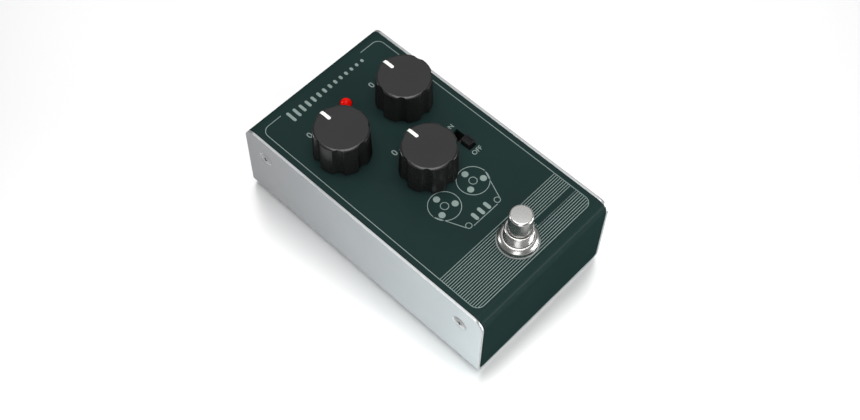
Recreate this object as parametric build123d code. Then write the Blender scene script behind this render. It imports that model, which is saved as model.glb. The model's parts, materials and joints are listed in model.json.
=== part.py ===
from build123d import *
import os

# Compact tape echo pedal. A painted cover, folded from one sheet into the top, front and rear walls, sits
# between the sides of a bare aluminium base folded from another. Three knobs, a lamp, a slide switch and a
# foot switch stand on the top; two quarter-inch jacks and a low-voltage inlet open in the rear wall.
# Lengths are in millimetres. X runs to the player's right, Y to the rear and Z up. The pieces are drawn
# about the middle of the box, with the floor at zero, and moved at the end so that the origin lies on the
# floor under the middle of the whole part.

# Enclosure sheets
box_width = 74.0
box_depth = 129.4
box_height = 39.0
base_sheet = 1.2
base_bend = 3.2
cover_sheet = 1.2
cover_bend = 5.0
side_seam = 0.15
cover_lift = 0.3
cut_overrun = 1.0
thread_gap = 0.12
running_gap = 0.05

# Rubber feet
foot_radius = 5.0
foot_height = 1.0
foot_edge = 0.3
foot_inset_x = 9.0
foot_inset_y = 10.7

# Side screws and the corner brackets that take them
screw_inset = 11.0
screw_drop = 11.5
screw_radius = 1.75
screw_length = 5.0
screw_gap = 0.05
screw_head_radius = 3.4
screw_head_height = 1.05
screw_recess_length = 3.0
screw_recess_width = 0.6
screw_recess_depth = 0.7
bracket_sheet = 1.5
bracket_bend = 2.2
bracket_wall_leg = 8.0
bracket_side_leg = 16.0
bracket_height = 13.0

# Control positions, from the middle of the top or from its nearer end
rear_pot_x = 17.6
rear_pot_inset = 36.7
front_pot_y = -2.4
lamp_inset = 20.7
slide_x = 20.0
slide_y = -2.55
foot_switch_inset = 15.3

# Potentiometers
pot_width = 10.0
pot_depth = 11.0
pot_height = 7.5
pot_corner = 0.8
pot_bush_radius = 3.5
pot_bush_rise = 4.0
pot_washer_radius = 5.4
pot_washer_sheet = 0.5
pot_nut_flats = 10.0
pot_nut_height = 2.0
shaft_radius = 3.0
shaft_rise = 13.0
shaft_depth = 4.8
shaft_flat_depth = 1.5
shaft_flat_rise = 6.0
shaft_grip_gap = 0.02
shaft_end_gap = 0.3

# Knobs
knob_base_radius = 11.9
knob_shoulder_radius = 11.35
knob_lift = 0.7
knob_rise = 16.2
knob_edge_width = 1.35
knob_edge_drop = 0.5
knob_skirt_radius = 9.2
knob_skirt_rise = 5.5
knob_core_radius = 8.8
knob_boss_radius = 5.2
knob_roof = 2.6
flute_count = 7
flute_radius = 2.9
flute_floor_radius = 10.55
flute_edge = 0.35
pointer_length = 5.35
pointer_width = 1.5
pointer_depth = 1.0
pointer_gap = 0.02

# Lamp
lamp_radius = 2.5
lamp_gap = 0.15
lamp_dome_sink = 0.4
lamp_flange_radius = 2.95
lamp_flange_height = 1.0
lamp_flange_drop = 3.4
lamp_lead_width = 0.5
lamp_lead_pitch = 2.54

# Slide switch
slot_width = 4.2
slot_length = 10.8
slider_width = 3.6
slider_length = 4.4
slider_rise = 2.6
slider_travel = 5.0
slider_edge = 0.3
slider_groove_count = 5
slider_groove_pitch = 0.6
slider_groove_width = 0.3
slider_groove_depth = 0.3
carriage_width = 5.8
carriage_length = 8.2
carriage_height = 2.4
slider_gap = 0.2
can_width = 7.4
can_length = 15.4
can_height = 6.3
can_sheet = 0.5
can_corner = 0.9
slide_pin_width = 0.6
slide_pin_pitch_x = 3.2
slide_pin_pitch_y = 4.0
slide_pin_rows = 3

# Foot switch
plunger_radius = 4.75
plunger_rise = 18.7
plunger_edge = 0.9
plunger_travel = 4.0
plunger_collar_radius = 5.1
plunger_collar_height = 2.7
plunger_stop_gap = 0.3
foot_bush_radius = 5.95
foot_bush_rise = 9.4
foot_bush_edge = 0.7
dress_washer_radius = 8.6
dress_washer_sheet = 0.6
dress_nut_radius = 8.3
dress_nut_height = 3.6
dress_nut_rim = 2.0
dress_nut_neck = 6.5
dress_nut_slope = 20.0
inner_nut_flats = 15.0
inner_nut_height = 2.0
yoke_sheet = 0.8
yoke_leg = 7.0
foot_case_width = 17.0
foot_case_height = 15.0
foot_case_corner = 1.0
plunger_well_gap = 0.35
lug_width = 2.0
lug_sheet = 0.8
lug_length = 4.0
lug_pitch = 4.8
lug_rows = 3

# Circuit boards and what they carry
board_sheet = 1.6
board_corner = 1.5
main_board_side_gap = 4.8
main_board_front = -18.0
main_board_rear_gap = 3.0
switch_board_width = 26.0
switch_board_ahead = 10.6
switch_board_behind = 16.4
delay_chip_width = 10.0
delay_chip_height = 1.5
delay_chip_y = 14.0
amp_chip_width = 5.0
amp_chip_depth = 4.0
amp_chip_height = 1.7
amp_chip_inset = 16.0
amp_chip_y = 4.0
chip_edge = 0.25
capacitor_radius = 2.6
capacitor_height = 7.0
capacitor_edge = 0.5
capacitor_inset = 5.0
capacitor_y = 12.0
capacitor_pitch = 9.0
ribbon_width = 12.0
ribbon_sheet = 0.9
ribbon_bend = 3.0
ribbon_main_inset = 4.0
ribbon_switch_inset = 3.0
ribbon_drop = 7.0

# Rear sockets
socket_drop = 16.5
jack_width = 15.0
jack_depth = 26.0
jack_below = 6.0
jack_corner = 0.8
jack_bush_radius = 4.75
jack_bush_proud = 0.4
jack_bore_radius = 3.2
jack_bore_length = 10.0
jack_washer_radius = 7.0
jack_washer_sheet = 0.4
jack_nut_flats = 12.7
jack_nut_height = 1.8
jack_nut_edge = 0.4
jack_chamber_width = 9.0
jack_chamber_height = 8.0
jack_back_wall = 1.5
contact_sheet = 0.4
contact_width = 3.0
contact_gap = 0.25
contact_back_gap = 3.0
inlet_width = 11.6
inlet_depth = 14.0
inlet_below = 5.8
inlet_corner = 0.6
inlet_hole_radius = 5.6
inlet_bore_radius = 3.1
inlet_bore_length = 9.5
inlet_pin_radius = 1.05
inlet_pin_length = 9.0
inlet_pin_tip = 0.3

# Levels and limits that follow from the sizes above
floor_z = foot_height + base_sheet
panel_z = foot_height + box_height
under_z = panel_z - cover_sheet
half_cover = box_width / 2 - base_sheet - side_seam
wall_y = box_depth / 2 - cover_sheet
rear_pot_y = box_depth / 2 - rear_pot_inset
lamp_y = box_depth / 2 - lamp_inset
foot_switch_y = foot_switch_inset - box_depth / 2
board_top = under_z - pot_height
board_under = board_top - board_sheet
screw_z = panel_z - screw_drop
screw_y = box_depth / 2 - screw_inset
slider_rest_y = slide_y - slider_travel / 2
yoke_top = under_z - inner_nut_height
yoke_under = yoke_top - yoke_sheet
foot_case_z = yoke_under - foot_case_height
main_board_width = box_width - 2 * (base_sheet + main_board_side_gap)
switch_board_top = foot_case_z - lug_length
switch_board_rear = foot_switch_y + switch_board_behind
ribbon_main_y = main_board_front + ribbon_main_inset
ribbon_switch_y = switch_board_rear - ribbon_switch_inset
knob_top_radius = knob_shoulder_radius - knob_edge_width
socket_z = panel_z - socket_drop
jack_reach = jack_washer_sheet + jack_nut_height + jack_bush_proud
jack_x = (inlet_width / 2 + half_cover - bracket_wall_leg) / 2

pots = {"delay": (-rear_pot_x, rear_pot_y), "level": (rear_pot_x, rear_pot_y), "repeat": (0, front_pot_y)}
sides = {"left": -1, "right": 1}
ends = {"front": -1, "rear": 1}
jacks = {"output": -jack_x, "input": jack_x}


def block(x_span, y_span, z_span):
    """Box between two limits along each axis."""
    spans = (x_span, y_span, z_span)
    middle = [(low + high) / 2 for low, high in spans]
    return Pos(*middle) * Box(*[high - low for low, high in spans])


def about(middle, width):
    """Limits of a width about its middle."""
    return middle - width / 2, middle + width / 2


def post(radius, low, high, x=0, y=0):
    """Upright cylinder between two heights."""
    return Pos(x, y, low) * Cylinder(radius, high - low, align=(Align.CENTER, Align.CENTER, Align.MIN))


def barrel(radius, near, far, x=0, z=0):
    """Cylinder along Y between two depths."""
    return Pos(x, near, z) * Rot(X=-90) * post(radius, 0, far - near)


def hexagon(flats, low, high):
    """Upright six-sided bar on the Z axis."""
    return Pos(0, 0, low) * extrude(RegularPolygon(flats / 2, 6, major_radius=False), high - low)


def rounded_block(x_span, y_span, z_span, corner):
    """Box with rounded upright edges."""
    solid = block(x_span, y_span, z_span)
    return fillet(solid.edges().filter_by(Axis.Z), corner)


def folded_section(width, height, sheet, bend):
    """Section of a sheet folded up at both sides, open at the top and standing on the X axis."""
    outer = Pos(0, height / 2) * Rectangle(width, height)
    outer = fillet(outer.vertices().group_by(Axis.Y)[0], bend)
    inner = Pos(0, sheet + height / 2) * Rectangle(width - 2 * sheet, height)
    inner = fillet(inner.vertices().group_by(Axis.Y)[0], bend - sheet)
    return outer - inner


def side_screw_place(side, end):
    """Outer face of one screw head, with its axis pointing out of the side."""
    return Pos(side * box_width / 2, end * screw_y, screw_z) * Rot(Y=90 * side)


def screw_form(gap):
    """Countersunk screw under the plane of its head, grown by a gap."""
    head = Pos(0, 0, -screw_head_height) * Cone(
        screw_radius + gap,
        screw_head_radius + gap,
        screw_head_height,
        align=(Align.CENTER, Align.CENTER, Align.MIN),
    )
    return head + post(screw_radius + gap, -screw_length, -screw_head_height / 2)


def side_screw(side, end):
    """Countersunk screw with a cross recess."""
    slot = about(0, screw_recess_width)
    arm = about(0, screw_recess_length)
    deep = (-screw_recess_depth, cut_overrun)
    form = screw_form(0) - block(slot, arm, deep) - block(arm, slot, deep)
    return side_screw_place(side, end) * form


def base_chassis():
    """Bottom and both sides from one sheet, the sides cut to the curve of the cover's bends."""
    section = folded_section(box_width, box_height, base_sheet, base_bend)
    sheet = Pos(0, 0, foot_height) * extrude(Plane.XZ * section, box_depth / 2, both=True)
    sheet = fillet(sheet.edges().filter_by(Axis.X).group_by(Axis.Z)[-1], cover_bend)
    for side in sides.values():
        for end in ends.values():
            mouth = post(screw_head_radius + screw_gap, 0, cut_overrun)
            sheet -= side_screw_place(side, end) * (screw_form(screw_gap) + mouth)
    return sheet


def top_cover():
    """Top, front and rear walls from one sheet, with the holes for the controls and sockets."""
    wall_drop = panel_z - floor_z - cover_lift
    section = Rot(Z=180) * folded_section(box_depth, wall_drop, cover_sheet, cover_bend)
    sheet = Pos(0, 0, panel_z) * extrude(Plane.YZ * section, half_cover, both=True)
    sheet = fillet(sheet.edges().filter_by(Axis.Y).group_by(Axis.Z)[0], base_bend - base_sheet)
    top = (under_z - cut_overrun, panel_z + cut_overrun)
    for x, y in pots.values():
        sheet -= post(pot_bush_radius + thread_gap, *top, x, y)
    sheet -= post(lamp_radius + lamp_gap, *top, 0, lamp_y)
    sheet -= post(foot_bush_radius + thread_gap, *top, 0, foot_switch_y)
    sheet -= block(about(slide_x, slot_width), about(slide_y, slot_length), top)
    rear = (wall_y - cut_overrun, box_depth / 2 + cut_overrun)
    for x in jacks.values():
        sheet -= barrel(jack_bush_radius + thread_gap, *rear, x, socket_z)
    return sheet - barrel(inlet_hole_radius, *rear, 0, socket_z)


def rubber_foot(side, end):
    """Low round foot with a softened lower edge."""
    foot = post(foot_radius, 0, foot_height)
    foot = fillet(foot.edges().group_by(Axis.Z)[0], foot_edge)
    return Pos(side * (box_width / 2 - foot_inset_x), end * (box_depth / 2 - foot_inset_y)) * foot


def corner_bracket(side, end):
    """Bent bracket on the cover's end wall, with the screw hole in its side leg."""
    outer = Pos(-bracket_wall_leg / 2, -bracket_side_leg / 2) * Rectangle(bracket_wall_leg, bracket_side_leg)
    outer = fillet(outer.vertices().group_by(Axis.X)[-1].sort_by(Axis.Y)[-1], bracket_bend)
    inner = Pos(-bracket_sheet, -bracket_sheet) * outer
    legs = Pos(half_cover, wall_y, screw_z) * extrude(outer - inner, bracket_height / 2, both=True)
    hole = Rot(Y=-90) * post(screw_radius + screw_gap, -cut_overrun, screw_length)
    bracket = legs - Pos(half_cover, screw_y, screw_z) * hole
    if side < 0:
        bracket = mirror(bracket, Plane.YZ)
    if end < 0:
        bracket = mirror(bracket, Plane.XZ)
    return bracket


def pot_case(x, y):
    """Potentiometer case between the cover and the board, with its bush and the shaft's bore."""
    case = rounded_block(about(0, pot_width), about(0, pot_depth), (board_top, under_z), pot_corner)
    case += post(pot_bush_radius, under_z, panel_z + pot_bush_rise)
    well = under_z - shaft_depth - shaft_end_gap
    case -= post(shaft_radius + running_gap, well, panel_z + pot_bush_rise + cut_overrun)
    return Pos(x, y) * case


def pot_washer(x, y):
    """Flat washer on the top of the cover."""
    top = panel_z + pot_washer_sheet
    ring = post(pot_washer_radius, panel_z, top)
    ring -= post(pot_bush_radius + thread_gap, panel_z - cut_overrun, top + cut_overrun)
    return Pos(x, y) * ring


def pot_nut(x, y):
    """Hexagon nut on the bush."""
    low = panel_z + pot_washer_sheet
    high = low + pot_nut_height
    nut = hexagon(pot_nut_flats, low, high)
    nut -= post(pot_bush_radius + running_gap, low - cut_overrun, high + cut_overrun)
    return Pos(x, y) * nut


def shaft_bar(gap):
    """Control shaft with a flat on its upper part, grown by a gap."""
    bar = post(shaft_radius + gap, under_z - shaft_depth, panel_z + shaft_rise + gap)
    clear = shaft_radius + cut_overrun
    flat = block(
        (-clear, clear),
        (shaft_radius - shaft_flat_depth + gap, clear),
        (panel_z + shaft_flat_rise + gap, panel_z + shaft_rise + cut_overrun),
    )
    return bar - flat


def fluted_outline(radius, z):
    """Knob section at one height: a circle with scallops all round and softened edges, a lobe to the rear."""
    outline = Circle(radius)
    pitch = 360 / flute_count
    for index in range(flute_count):
        scallop = Pos(flute_floor_radius + flute_radius, 0) * Circle(flute_radius)
        outline -= Rot(Z=90 + (index + 1 / 2) * pitch) * scallop
    return Pos(0, 0, z) * fillet(outline.vertices(), flute_edge)


def fluted_blank():
    """Tapered fluted bar under a round bevelled top that the flutes do not reach."""
    low = panel_z + knob_lift
    high = panel_z + knob_rise
    taper = (knob_base_radius - knob_shoulder_radius) / (knob_rise - knob_edge_drop - knob_lift)
    tip_radius = knob_shoulder_radius - taper * (knob_edge_drop + cut_overrun)
    sections = [fluted_outline(knob_base_radius, low), fluted_outline(tip_radius, high + cut_overrun)]
    turned_radius = knob_base_radius + cut_overrun
    drop = (turned_radius - knob_top_radius) * knob_edge_drop / knob_edge_width
    crown = Cone(turned_radius, knob_top_radius, drop, align=(Align.CENTER, Align.CENTER, Align.MAX))
    turned = post(turned_radius, panel_z, high - drop) + Pos(0, 0, high) * crown
    return loft(sections, ruled=True) & turned


def pointer_prism(gap):
    """Round-ended slot in a knob's top, running out through its rear lobe, shrunk by a gap."""
    width = pointer_width - 2 * gap
    inner_y = knob_shoulder_radius - pointer_length + pointer_width / 2
    low = panel_z + knob_rise - pointer_depth + gap
    high = panel_z + knob_rise + cut_overrun
    run = block(about(0, width), (inner_y, knob_base_radius + cut_overrun), (low, high))
    return run + post(width / 2, low, high, 0, inner_y)


def knob(x, y):
    """Fluted knob, open below for the nut, with a boss round the shaft and the pointer's slot."""
    body = fluted_blank() - pointer_prism(0)
    low = panel_z + knob_lift - cut_overrun
    skirt_top = panel_z + knob_skirt_rise
    body -= post(knob_skirt_radius, low, skirt_top)
    body -= post(knob_core_radius, low, panel_z + knob_rise - knob_roof) - post(
        knob_boss_radius, skirt_top, panel_z + knob_rise
    )
    return Pos(x, y) * (body - shaft_bar(shaft_grip_gap))


def pointer(x, y):
    """White line let into a knob, flush with its top and bevelled with its rim."""
    return Pos(x, y) * (fluted_blank() & pointer_prism(pointer_gap))


def lamp_lens():
    """Round-topped lamp with its flange below the cover."""
    dome_z = panel_z - lamp_dome_sink
    flange_z = under_z - lamp_flange_drop
    dome = Sphere(lamp_radius, arc_size1=0, align=(Align.CENTER, Align.CENTER, Align.MIN))
    lens = post(lamp_radius, flange_z, dome_z) + Pos(0, 0, dome_z) * dome
    lens += post(lamp_flange_radius, flange_z, flange_z + lamp_flange_height)
    return Pos(0, lamp_y) * lens


def lamp_leads():
    """Two square leads from the lamp to the board."""
    z_span = (board_top, under_z - lamp_flange_drop)
    y_span = about(lamp_y, lamp_lead_width)
    return Compound(
        children=[
            block(about(side * lamp_lead_pitch / 2, lamp_lead_width), y_span, z_span)
            for side in sides.values()
        ]
    )


def slide_can():
    """Sheet can of the slide switch, open below and slotted above."""
    low = under_z - can_height
    can = rounded_block(
        about(slide_x, can_width), about(slide_y, can_length), (low, under_z), can_corner
    )
    can -= rounded_block(
        about(slide_x, can_width - 2 * can_sheet),
        about(slide_y, can_length - 2 * can_sheet),
        (low - cut_overrun, under_z - can_sheet),
        can_corner - can_sheet,
    )
    return can - block(about(slide_x, slot_width), about(slide_y, slot_length), (low, under_z + cut_overrun))


def slide_base():
    """Plate that closes the can, on short pins that stand on the board."""
    high = under_z - can_height
    low = board_top + (high - board_top) / 2
    base = rounded_block(about(slide_x, can_width), about(slide_y, can_length), (low, high), can_corner)
    middle = (slide_pin_rows - 1) / 2
    for side in sides.values():
        for row in range(slide_pin_rows):
            x_span = about(slide_x + side * slide_pin_pitch_x / 2, slide_pin_width)
            y_span = about(slide_y + (row - middle) * slide_pin_pitch_y, slide_pin_width)
            base += block(x_span, y_span, (board_top, low))
    return base


def slider():
    """Grooved slider on its carriage inside the can, at the front end of its travel."""
    carriage_top = under_z - can_sheet - slider_gap
    top = panel_z + slider_rise
    cap = block(
        about(slide_x, slider_width),
        about(slider_rest_y, slider_length),
        (carriage_top - carriage_height, top),
    )
    cap = fillet(cap.edges().group_by(Axis.Z)[-1], slider_edge)
    middle = (slider_groove_count - 1) / 2
    for index in range(slider_groove_count):
        y = slider_rest_y + (index - middle) * slider_groove_pitch
        cap -= block(
            about(slide_x, slider_width + cut_overrun),
            about(y, slider_groove_width),
            (top - slider_groove_depth, top + cut_overrun),
        )
    return cap + block(
        about(slide_x, carriage_width),
        about(slider_rest_y, carriage_length),
        (carriage_top - carriage_height, carriage_top),
    )


def foot_plunger():
    """Chrome plunger with a rounded top edge and the collar that keeps it in the bush."""
    top = panel_z + plunger_rise
    collar_top = yoke_under - plunger_stop_gap
    plunger = post(plunger_radius, collar_top, top)
    plunger = fillet(plunger.edges().group_by(Axis.Z)[-1], plunger_edge)
    plunger += post(plunger_collar_radius, collar_top - plunger_collar_height, collar_top)
    return Pos(0, foot_switch_y) * plunger


def foot_frame():
    """Threaded bush of the foot switch on the bent yoke that holds its case."""
    bush_top = panel_z + foot_bush_rise
    bush = post(foot_bush_radius, yoke_under, bush_top)
    bush = fillet(bush.edges().group_by(Axis.Z)[-1], foot_bush_edge)
    width = foot_case_width + 2 * yoke_sheet
    yoke = block(about(0, width), about(0, foot_case_width), (yoke_under - yoke_leg, yoke_top))
    yoke -= block(
        about(0, foot_case_width),
        about(0, foot_case_width + cut_overrun),
        (yoke_under - yoke_leg - cut_overrun, yoke_under),
    )
    bore = post(plunger_radius + running_gap, yoke_under - cut_overrun, bush_top + cut_overrun)
    return Pos(0, foot_switch_y) * (bush + yoke - bore)


def foot_case():
    """Moulded case of the foot switch, with the well that the plunger works in."""
    case = rounded_block(
        about(0, foot_case_width), about(0, foot_case_width), (foot_case_z, yoke_under), foot_case_corner
    )
    well = yoke_under - plunger_stop_gap - plunger_collar_height - plunger_travel - plunger_stop_gap
    case -= post(plunger_collar_radius + plunger_well_gap, well, yoke_under + cut_overrun)
    return Pos(0, foot_switch_y) * case


def foot_lugs():
    """Rows of solder lugs between the foot switch and its board."""
    middle = (lug_rows - 1) / 2
    return Compound(
        children=[
            block(
                about((column - middle) * lug_pitch, lug_width),
                about(foot_switch_y + (row - middle) * lug_pitch, lug_sheet),
                (switch_board_top, foot_case_z),
            )
            for column in range(lug_rows)
            for row in range(lug_rows)
        ]
    )


def inner_nut():
    """Hexagon nut on the foot switch's bush, under the cover."""
    nut = hexagon(inner_nut_flats, yoke_top, under_z)
    nut -= post(foot_bush_radius + running_gap, yoke_top - cut_overrun, under_z + cut_overrun)
    return Pos(0, foot_switch_y) * nut


def dress_washer():
    """Thin washer under the dress nut."""
    top = panel_z + dress_washer_sheet
    ring = post(dress_washer_radius, panel_z, top)
    ring -= post(foot_bush_radius + thread_gap, panel_z - cut_overrun, top + cut_overrun)
    return Pos(0, foot_switch_y) * ring


def dress_nut():
    """Round chrome nut with an upright side and a domed top round the bush."""
    low = panel_z + dress_washer_sheet
    high = low + dress_nut_height
    rim = low + dress_nut_rim
    bore = foot_bush_radius + running_gap
    with BuildPart() as turned:
        with BuildSketch(Plane.XZ):
            with BuildLine():
                Polyline((dress_nut_radius, rim), (dress_nut_radius, low), (bore, low), (bore, high))
                Line((bore, high), (dress_nut_neck, high))
                slope = Vector(1, 0).rotate(Axis.Z, -dress_nut_slope)
                TangentArc((dress_nut_neck, high), (dress_nut_radius, rim), tangent=slope)
            make_face()
        revolve(axis=Axis.Z)
    return Pos(0, foot_switch_y) * turned.part


def main_board():
    """Board under the potentiometers, from behind the foot switch to the rear wall."""
    return rounded_block(
        about(0, main_board_width),
        (main_board_front, wall_y - main_board_rear_gap),
        (board_under, board_top),
        board_corner,
    )


def switch_board():
    """Small board on the foot switch's lugs."""
    return rounded_block(
        about(0, switch_board_width),
        (foot_switch_y - switch_board_ahead, switch_board_rear),
        (switch_board_top - board_sheet, switch_board_top),
        board_corner,
    )


def chip(x, y, width, depth, height):
    """Flat chip under the main board with a bevelled face."""
    body = block(about(x, width), about(y, depth), (board_under - height, board_under))
    return chamfer(body.edges().group_by(Axis.Z)[0], chip_edge)


def chips():
    """Delay chip and two amplifiers under the main board."""
    parts = [chip(0, delay_chip_y, delay_chip_width, delay_chip_width, delay_chip_height)]
    for side in sides.values():
        x = side * (main_board_width / 2 - amp_chip_inset)
        parts.append(chip(x, amp_chip_y, amp_chip_width, amp_chip_depth, amp_chip_height))
    return Compound(children=parts)


def capacitors():
    """Pairs of round capacitors that hang under the main board."""
    parts = []
    for side in sides.values():
        x = side * (main_board_width / 2 - capacitor_inset)
        for end in ends.values():
            can = post(capacitor_radius, board_under - capacitor_height, board_under)
            can = fillet(can.edges().group_by(Axis.Z)[0], capacitor_edge)
            parts.append(Pos(x, capacitor_y + end * capacitor_pitch / 2) * can)
    return Compound(children=parts)


def ribbon():
    """Flat cable from the main board down and forward to the foot switch's board."""
    bend_z = board_under - ribbon_drop
    path = FilletPolyline(
        (0, ribbon_main_y, board_under),
        (0, ribbon_main_y, bend_z),
        (0, ribbon_switch_y, bend_z),
        (0, ribbon_switch_y, switch_board_top),
        radius=ribbon_bend,
    )
    section = Plane(path @ 0, x_dir=(1, 0, 0), z_dir=path % 0) * Rectangle(ribbon_width, ribbon_sheet)
    return sweep(section, path)


def jack_body(x):
    """Jack with its threaded bush through the wall, plug bore and contact chamber open below."""
    low = socket_z - jack_below
    body = rounded_block(about(x, jack_width), (wall_y - jack_depth, wall_y), (low, board_under), jack_corner)
    mouth_y = box_depth / 2 + jack_reach
    body += barrel(jack_bush_radius, wall_y, mouth_y, x, socket_z)
    chamber_rear = mouth_y - jack_bore_length
    body -= barrel(jack_bore_radius, chamber_rear - cut_overrun, mouth_y + cut_overrun, x, socket_z)
    return body - block(
        about(x, jack_chamber_width),
        (wall_y - jack_depth + jack_back_wall, chamber_rear),
        (low - cut_overrun, socket_z + jack_chamber_height / 2),
    )


def jack_contacts(x):
    """Two leaf contacts along the sides of the chamber, clear of the plug."""
    chamber_rear = box_depth / 2 + jack_reach - jack_bore_length
    y_span = (wall_y - jack_depth + jack_back_wall, chamber_rear - contact_back_gap)
    z_span = about(socket_z, contact_width)
    leaves = []
    for side in sides.values():
        near = x + side * (jack_bore_radius + contact_gap)
        far = near + side * contact_sheet
        leaves.append(block((min(near, far), max(near, far)), y_span, z_span))
    return Compound(children=leaves)


def jack_washer(x):
    """Flat washer on the outside of the rear wall."""
    near = box_depth / 2
    far = near + jack_washer_sheet
    ring = barrel(jack_washer_radius, near, far, x, socket_z)
    return ring - barrel(jack_bush_radius + thread_gap, near - cut_overrun, far + cut_overrun, x, socket_z)


def jack_nut(x):
    """Hexagon nut on the jack's bush, bevelled on its outer face."""
    near = box_depth / 2 + jack_washer_sheet
    nut = hexagon(jack_nut_flats, 0, jack_nut_height)
    nut = chamfer(nut.edges().group_by(Axis.Z)[-1], jack_nut_edge)
    nut -= post(jack_bush_radius + running_gap, -cut_overrun, jack_nut_height + cut_overrun)
    return Pos(x, near, socket_z) * Rot(X=-90) * nut


def inlet_body():
    """Low-voltage inlet behind its hole in the rear wall."""
    body = rounded_block(
        about(0, inlet_width),
        (wall_y - inlet_depth, wall_y),
        (socket_z - inlet_below, board_under),
        inlet_corner,
    )
    return body - barrel(inlet_bore_radius, wall_y - inlet_bore_length, wall_y + cut_overrun, 0, socket_z)


def inlet_pin():
    """Centre pin of the inlet, standing on the floor of its bore."""
    foot = wall_y - inlet_bore_length
    pin = barrel(inlet_pin_radius, foot, foot + inlet_pin_length, 0, socket_z)
    return chamfer(pin.edges().group_by(Axis.Y)[-1], inlet_pin_tip)


parts = {
    "top_cover": top_cover(),
    "base_chassis": base_chassis(),
    "led_lens": lamp_lens(),
    "led_leads": lamp_leads(),
    "slide_switch_can": slide_can(),
    "slide_switch_base": slide_base(),
    "slide_switch_slider": slider(),
    "footswitch_plunger": foot_plunger(),
    "footswitch_frame": foot_frame(),
    "footswitch_case": foot_case(),
    "footswitch_lugs": foot_lugs(),
    "footswitch_inner_nut": inner_nut(),
    "footswitch_washer": dress_washer(),
    "footswitch_dress_nut": dress_nut(),
    "main_board": main_board(),
    "footswitch_board": switch_board(),
    "board_chips": chips(),
    "board_capacitors": capacitors(),
    "ribbon_cable": ribbon(),
    "dc_inlet_body": inlet_body(),
    "dc_inlet_pin": inlet_pin(),
}
for side_name, side in sides.items():
    for end_name, end in ends.items():
        corner = f"{end_name}_{side_name}"
        parts[f"foot_{corner}"] = rubber_foot(side, end)
        parts[f"side_screw_{corner}"] = side_screw(side, end)
        parts[f"corner_bracket_{corner}"] = corner_bracket(side, end)
for name, place in pots.items():
    parts[f"{name}_pot_case"] = pot_case(*place)
    parts[f"{name}_pot_washer"] = pot_washer(*place)
    parts[f"{name}_pot_nut"] = pot_nut(*place)
    parts[f"{name}_shaft"] = Pos(*place) * shaft_bar(0)
    parts[f"{name}_knob"] = knob(*place)
    parts[f"{name}_pointer"] = pointer(*place)
for name, x in jacks.items():
    parts[f"{name}_jack_body"] = jack_body(x)
    parts[f"{name}_jack_contacts"] = jack_contacts(x)
    parts[f"{name}_jack_washer"] = jack_washer(x)
    parts[f"{name}_jack_nut"] = jack_nut(x)

os.makedirs("parts", exist_ok=True)
for name, part in parts.items():
    export_step(Pos(0, -jack_reach / 2) * part, f"parts/{name}.step")
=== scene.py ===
import json
from math import asin, atan2, cos, degrees, pi, radians, sin, sqrt

import bmesh
import bpy
from bpy.props import FloatProperty, FloatVectorProperty, IntProperty, PointerProperty
from mathutils import Matrix, Vector


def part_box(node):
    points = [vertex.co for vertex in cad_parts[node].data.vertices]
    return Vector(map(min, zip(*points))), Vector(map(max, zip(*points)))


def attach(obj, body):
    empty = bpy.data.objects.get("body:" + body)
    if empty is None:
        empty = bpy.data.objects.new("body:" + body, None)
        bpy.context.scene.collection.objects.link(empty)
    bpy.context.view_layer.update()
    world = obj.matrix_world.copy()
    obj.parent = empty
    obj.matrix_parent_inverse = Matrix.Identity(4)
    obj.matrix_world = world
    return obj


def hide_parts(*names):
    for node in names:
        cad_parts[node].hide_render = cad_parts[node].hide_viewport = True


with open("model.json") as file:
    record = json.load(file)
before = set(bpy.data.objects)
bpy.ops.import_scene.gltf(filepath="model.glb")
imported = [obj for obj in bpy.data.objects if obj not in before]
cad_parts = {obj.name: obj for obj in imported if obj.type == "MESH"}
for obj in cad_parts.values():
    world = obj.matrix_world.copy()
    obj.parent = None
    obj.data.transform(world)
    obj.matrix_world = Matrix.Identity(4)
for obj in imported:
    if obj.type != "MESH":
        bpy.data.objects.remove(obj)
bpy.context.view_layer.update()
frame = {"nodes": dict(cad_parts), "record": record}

bl_info = {
    "name": "Tape Echo Pedal",
    "version": (1, 0, 0),
    "blender": (4, 5, 0),
    "location": "3D View > Sidebar > Echo Pedal",
    "description": "Models and finishes a compact tape echo pedal on its packed frame",
    "category": "Object",
}

panel_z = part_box("top_cover")[1].z
rear_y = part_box("top_cover")[1].y
controls = ("delay", "level", "repeat")
corners = ("front_left", "front_right", "rear_left", "rear_right")

# Lengths in metres that follow from other pieces or lie hidden
# edges, holes and the slot of the two sheets
wall_corner = 0.002
sheet_edge = 0.00015
pot_hole = 0.00362
lamp_hole = 0.00265
foot_hole = 0.00607
slot_width = 0.0042
slot_length = 0.0108
slot_y = -0.00385
jack_hole = 0.00487
inlet_hole = 0.0056
# side screws below their heads, with the cross recess, and the rubber feet
screw_shank = 0.00175
screw_depth = 0.00105
screw_gap = 0.00042
recess_length = 0.0024
recess_width = 0.00055
recess_depth = 0.0007
foot_round = 0.0003
# hollow under a knob, softening between its flutes and the slot of its line
skirt_radius = 0.0092
skirt_rise = 0.0055
flute_edge = 0.0004
pointer_depth = 0.001
pointer_gap = 0.00002
# lamp's foot and the slider's edges, grooves and carriage
lamp_sink = 0.0004
lamp_flange = 0.00295
lamp_flange_height = 0.001
slider_edge = 0.0003
groove_pitch = 0.0008
groove_width = 0.00044
groove_depth = 0.0006
carriage_drop = 0.0019
# foot switch's hidden parts, roundings and thread
plunger_edge = 0.0009
collar_radius = 0.0051
collar_height = 0.0027
bush_bore = 0.0048
bush_lip = 0.0007
thread_pitch = 0.00075
thread_depth = 0.0003
thread_foot = 0.0012
yoke_sheet = 0.0008
washer_hole = 0.00607
nut_bore = 0.006
# gaps round the jack bushes
nut_slack = 0.00005
washer_slack = 0.00012


def length(label, words, size):
    """Property that holds a length in metres."""
    return FloatProperty(
        name=label, description=words, default=size, precision=5, unit="LENGTH", subtype="DISTANCE"
    )


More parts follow.
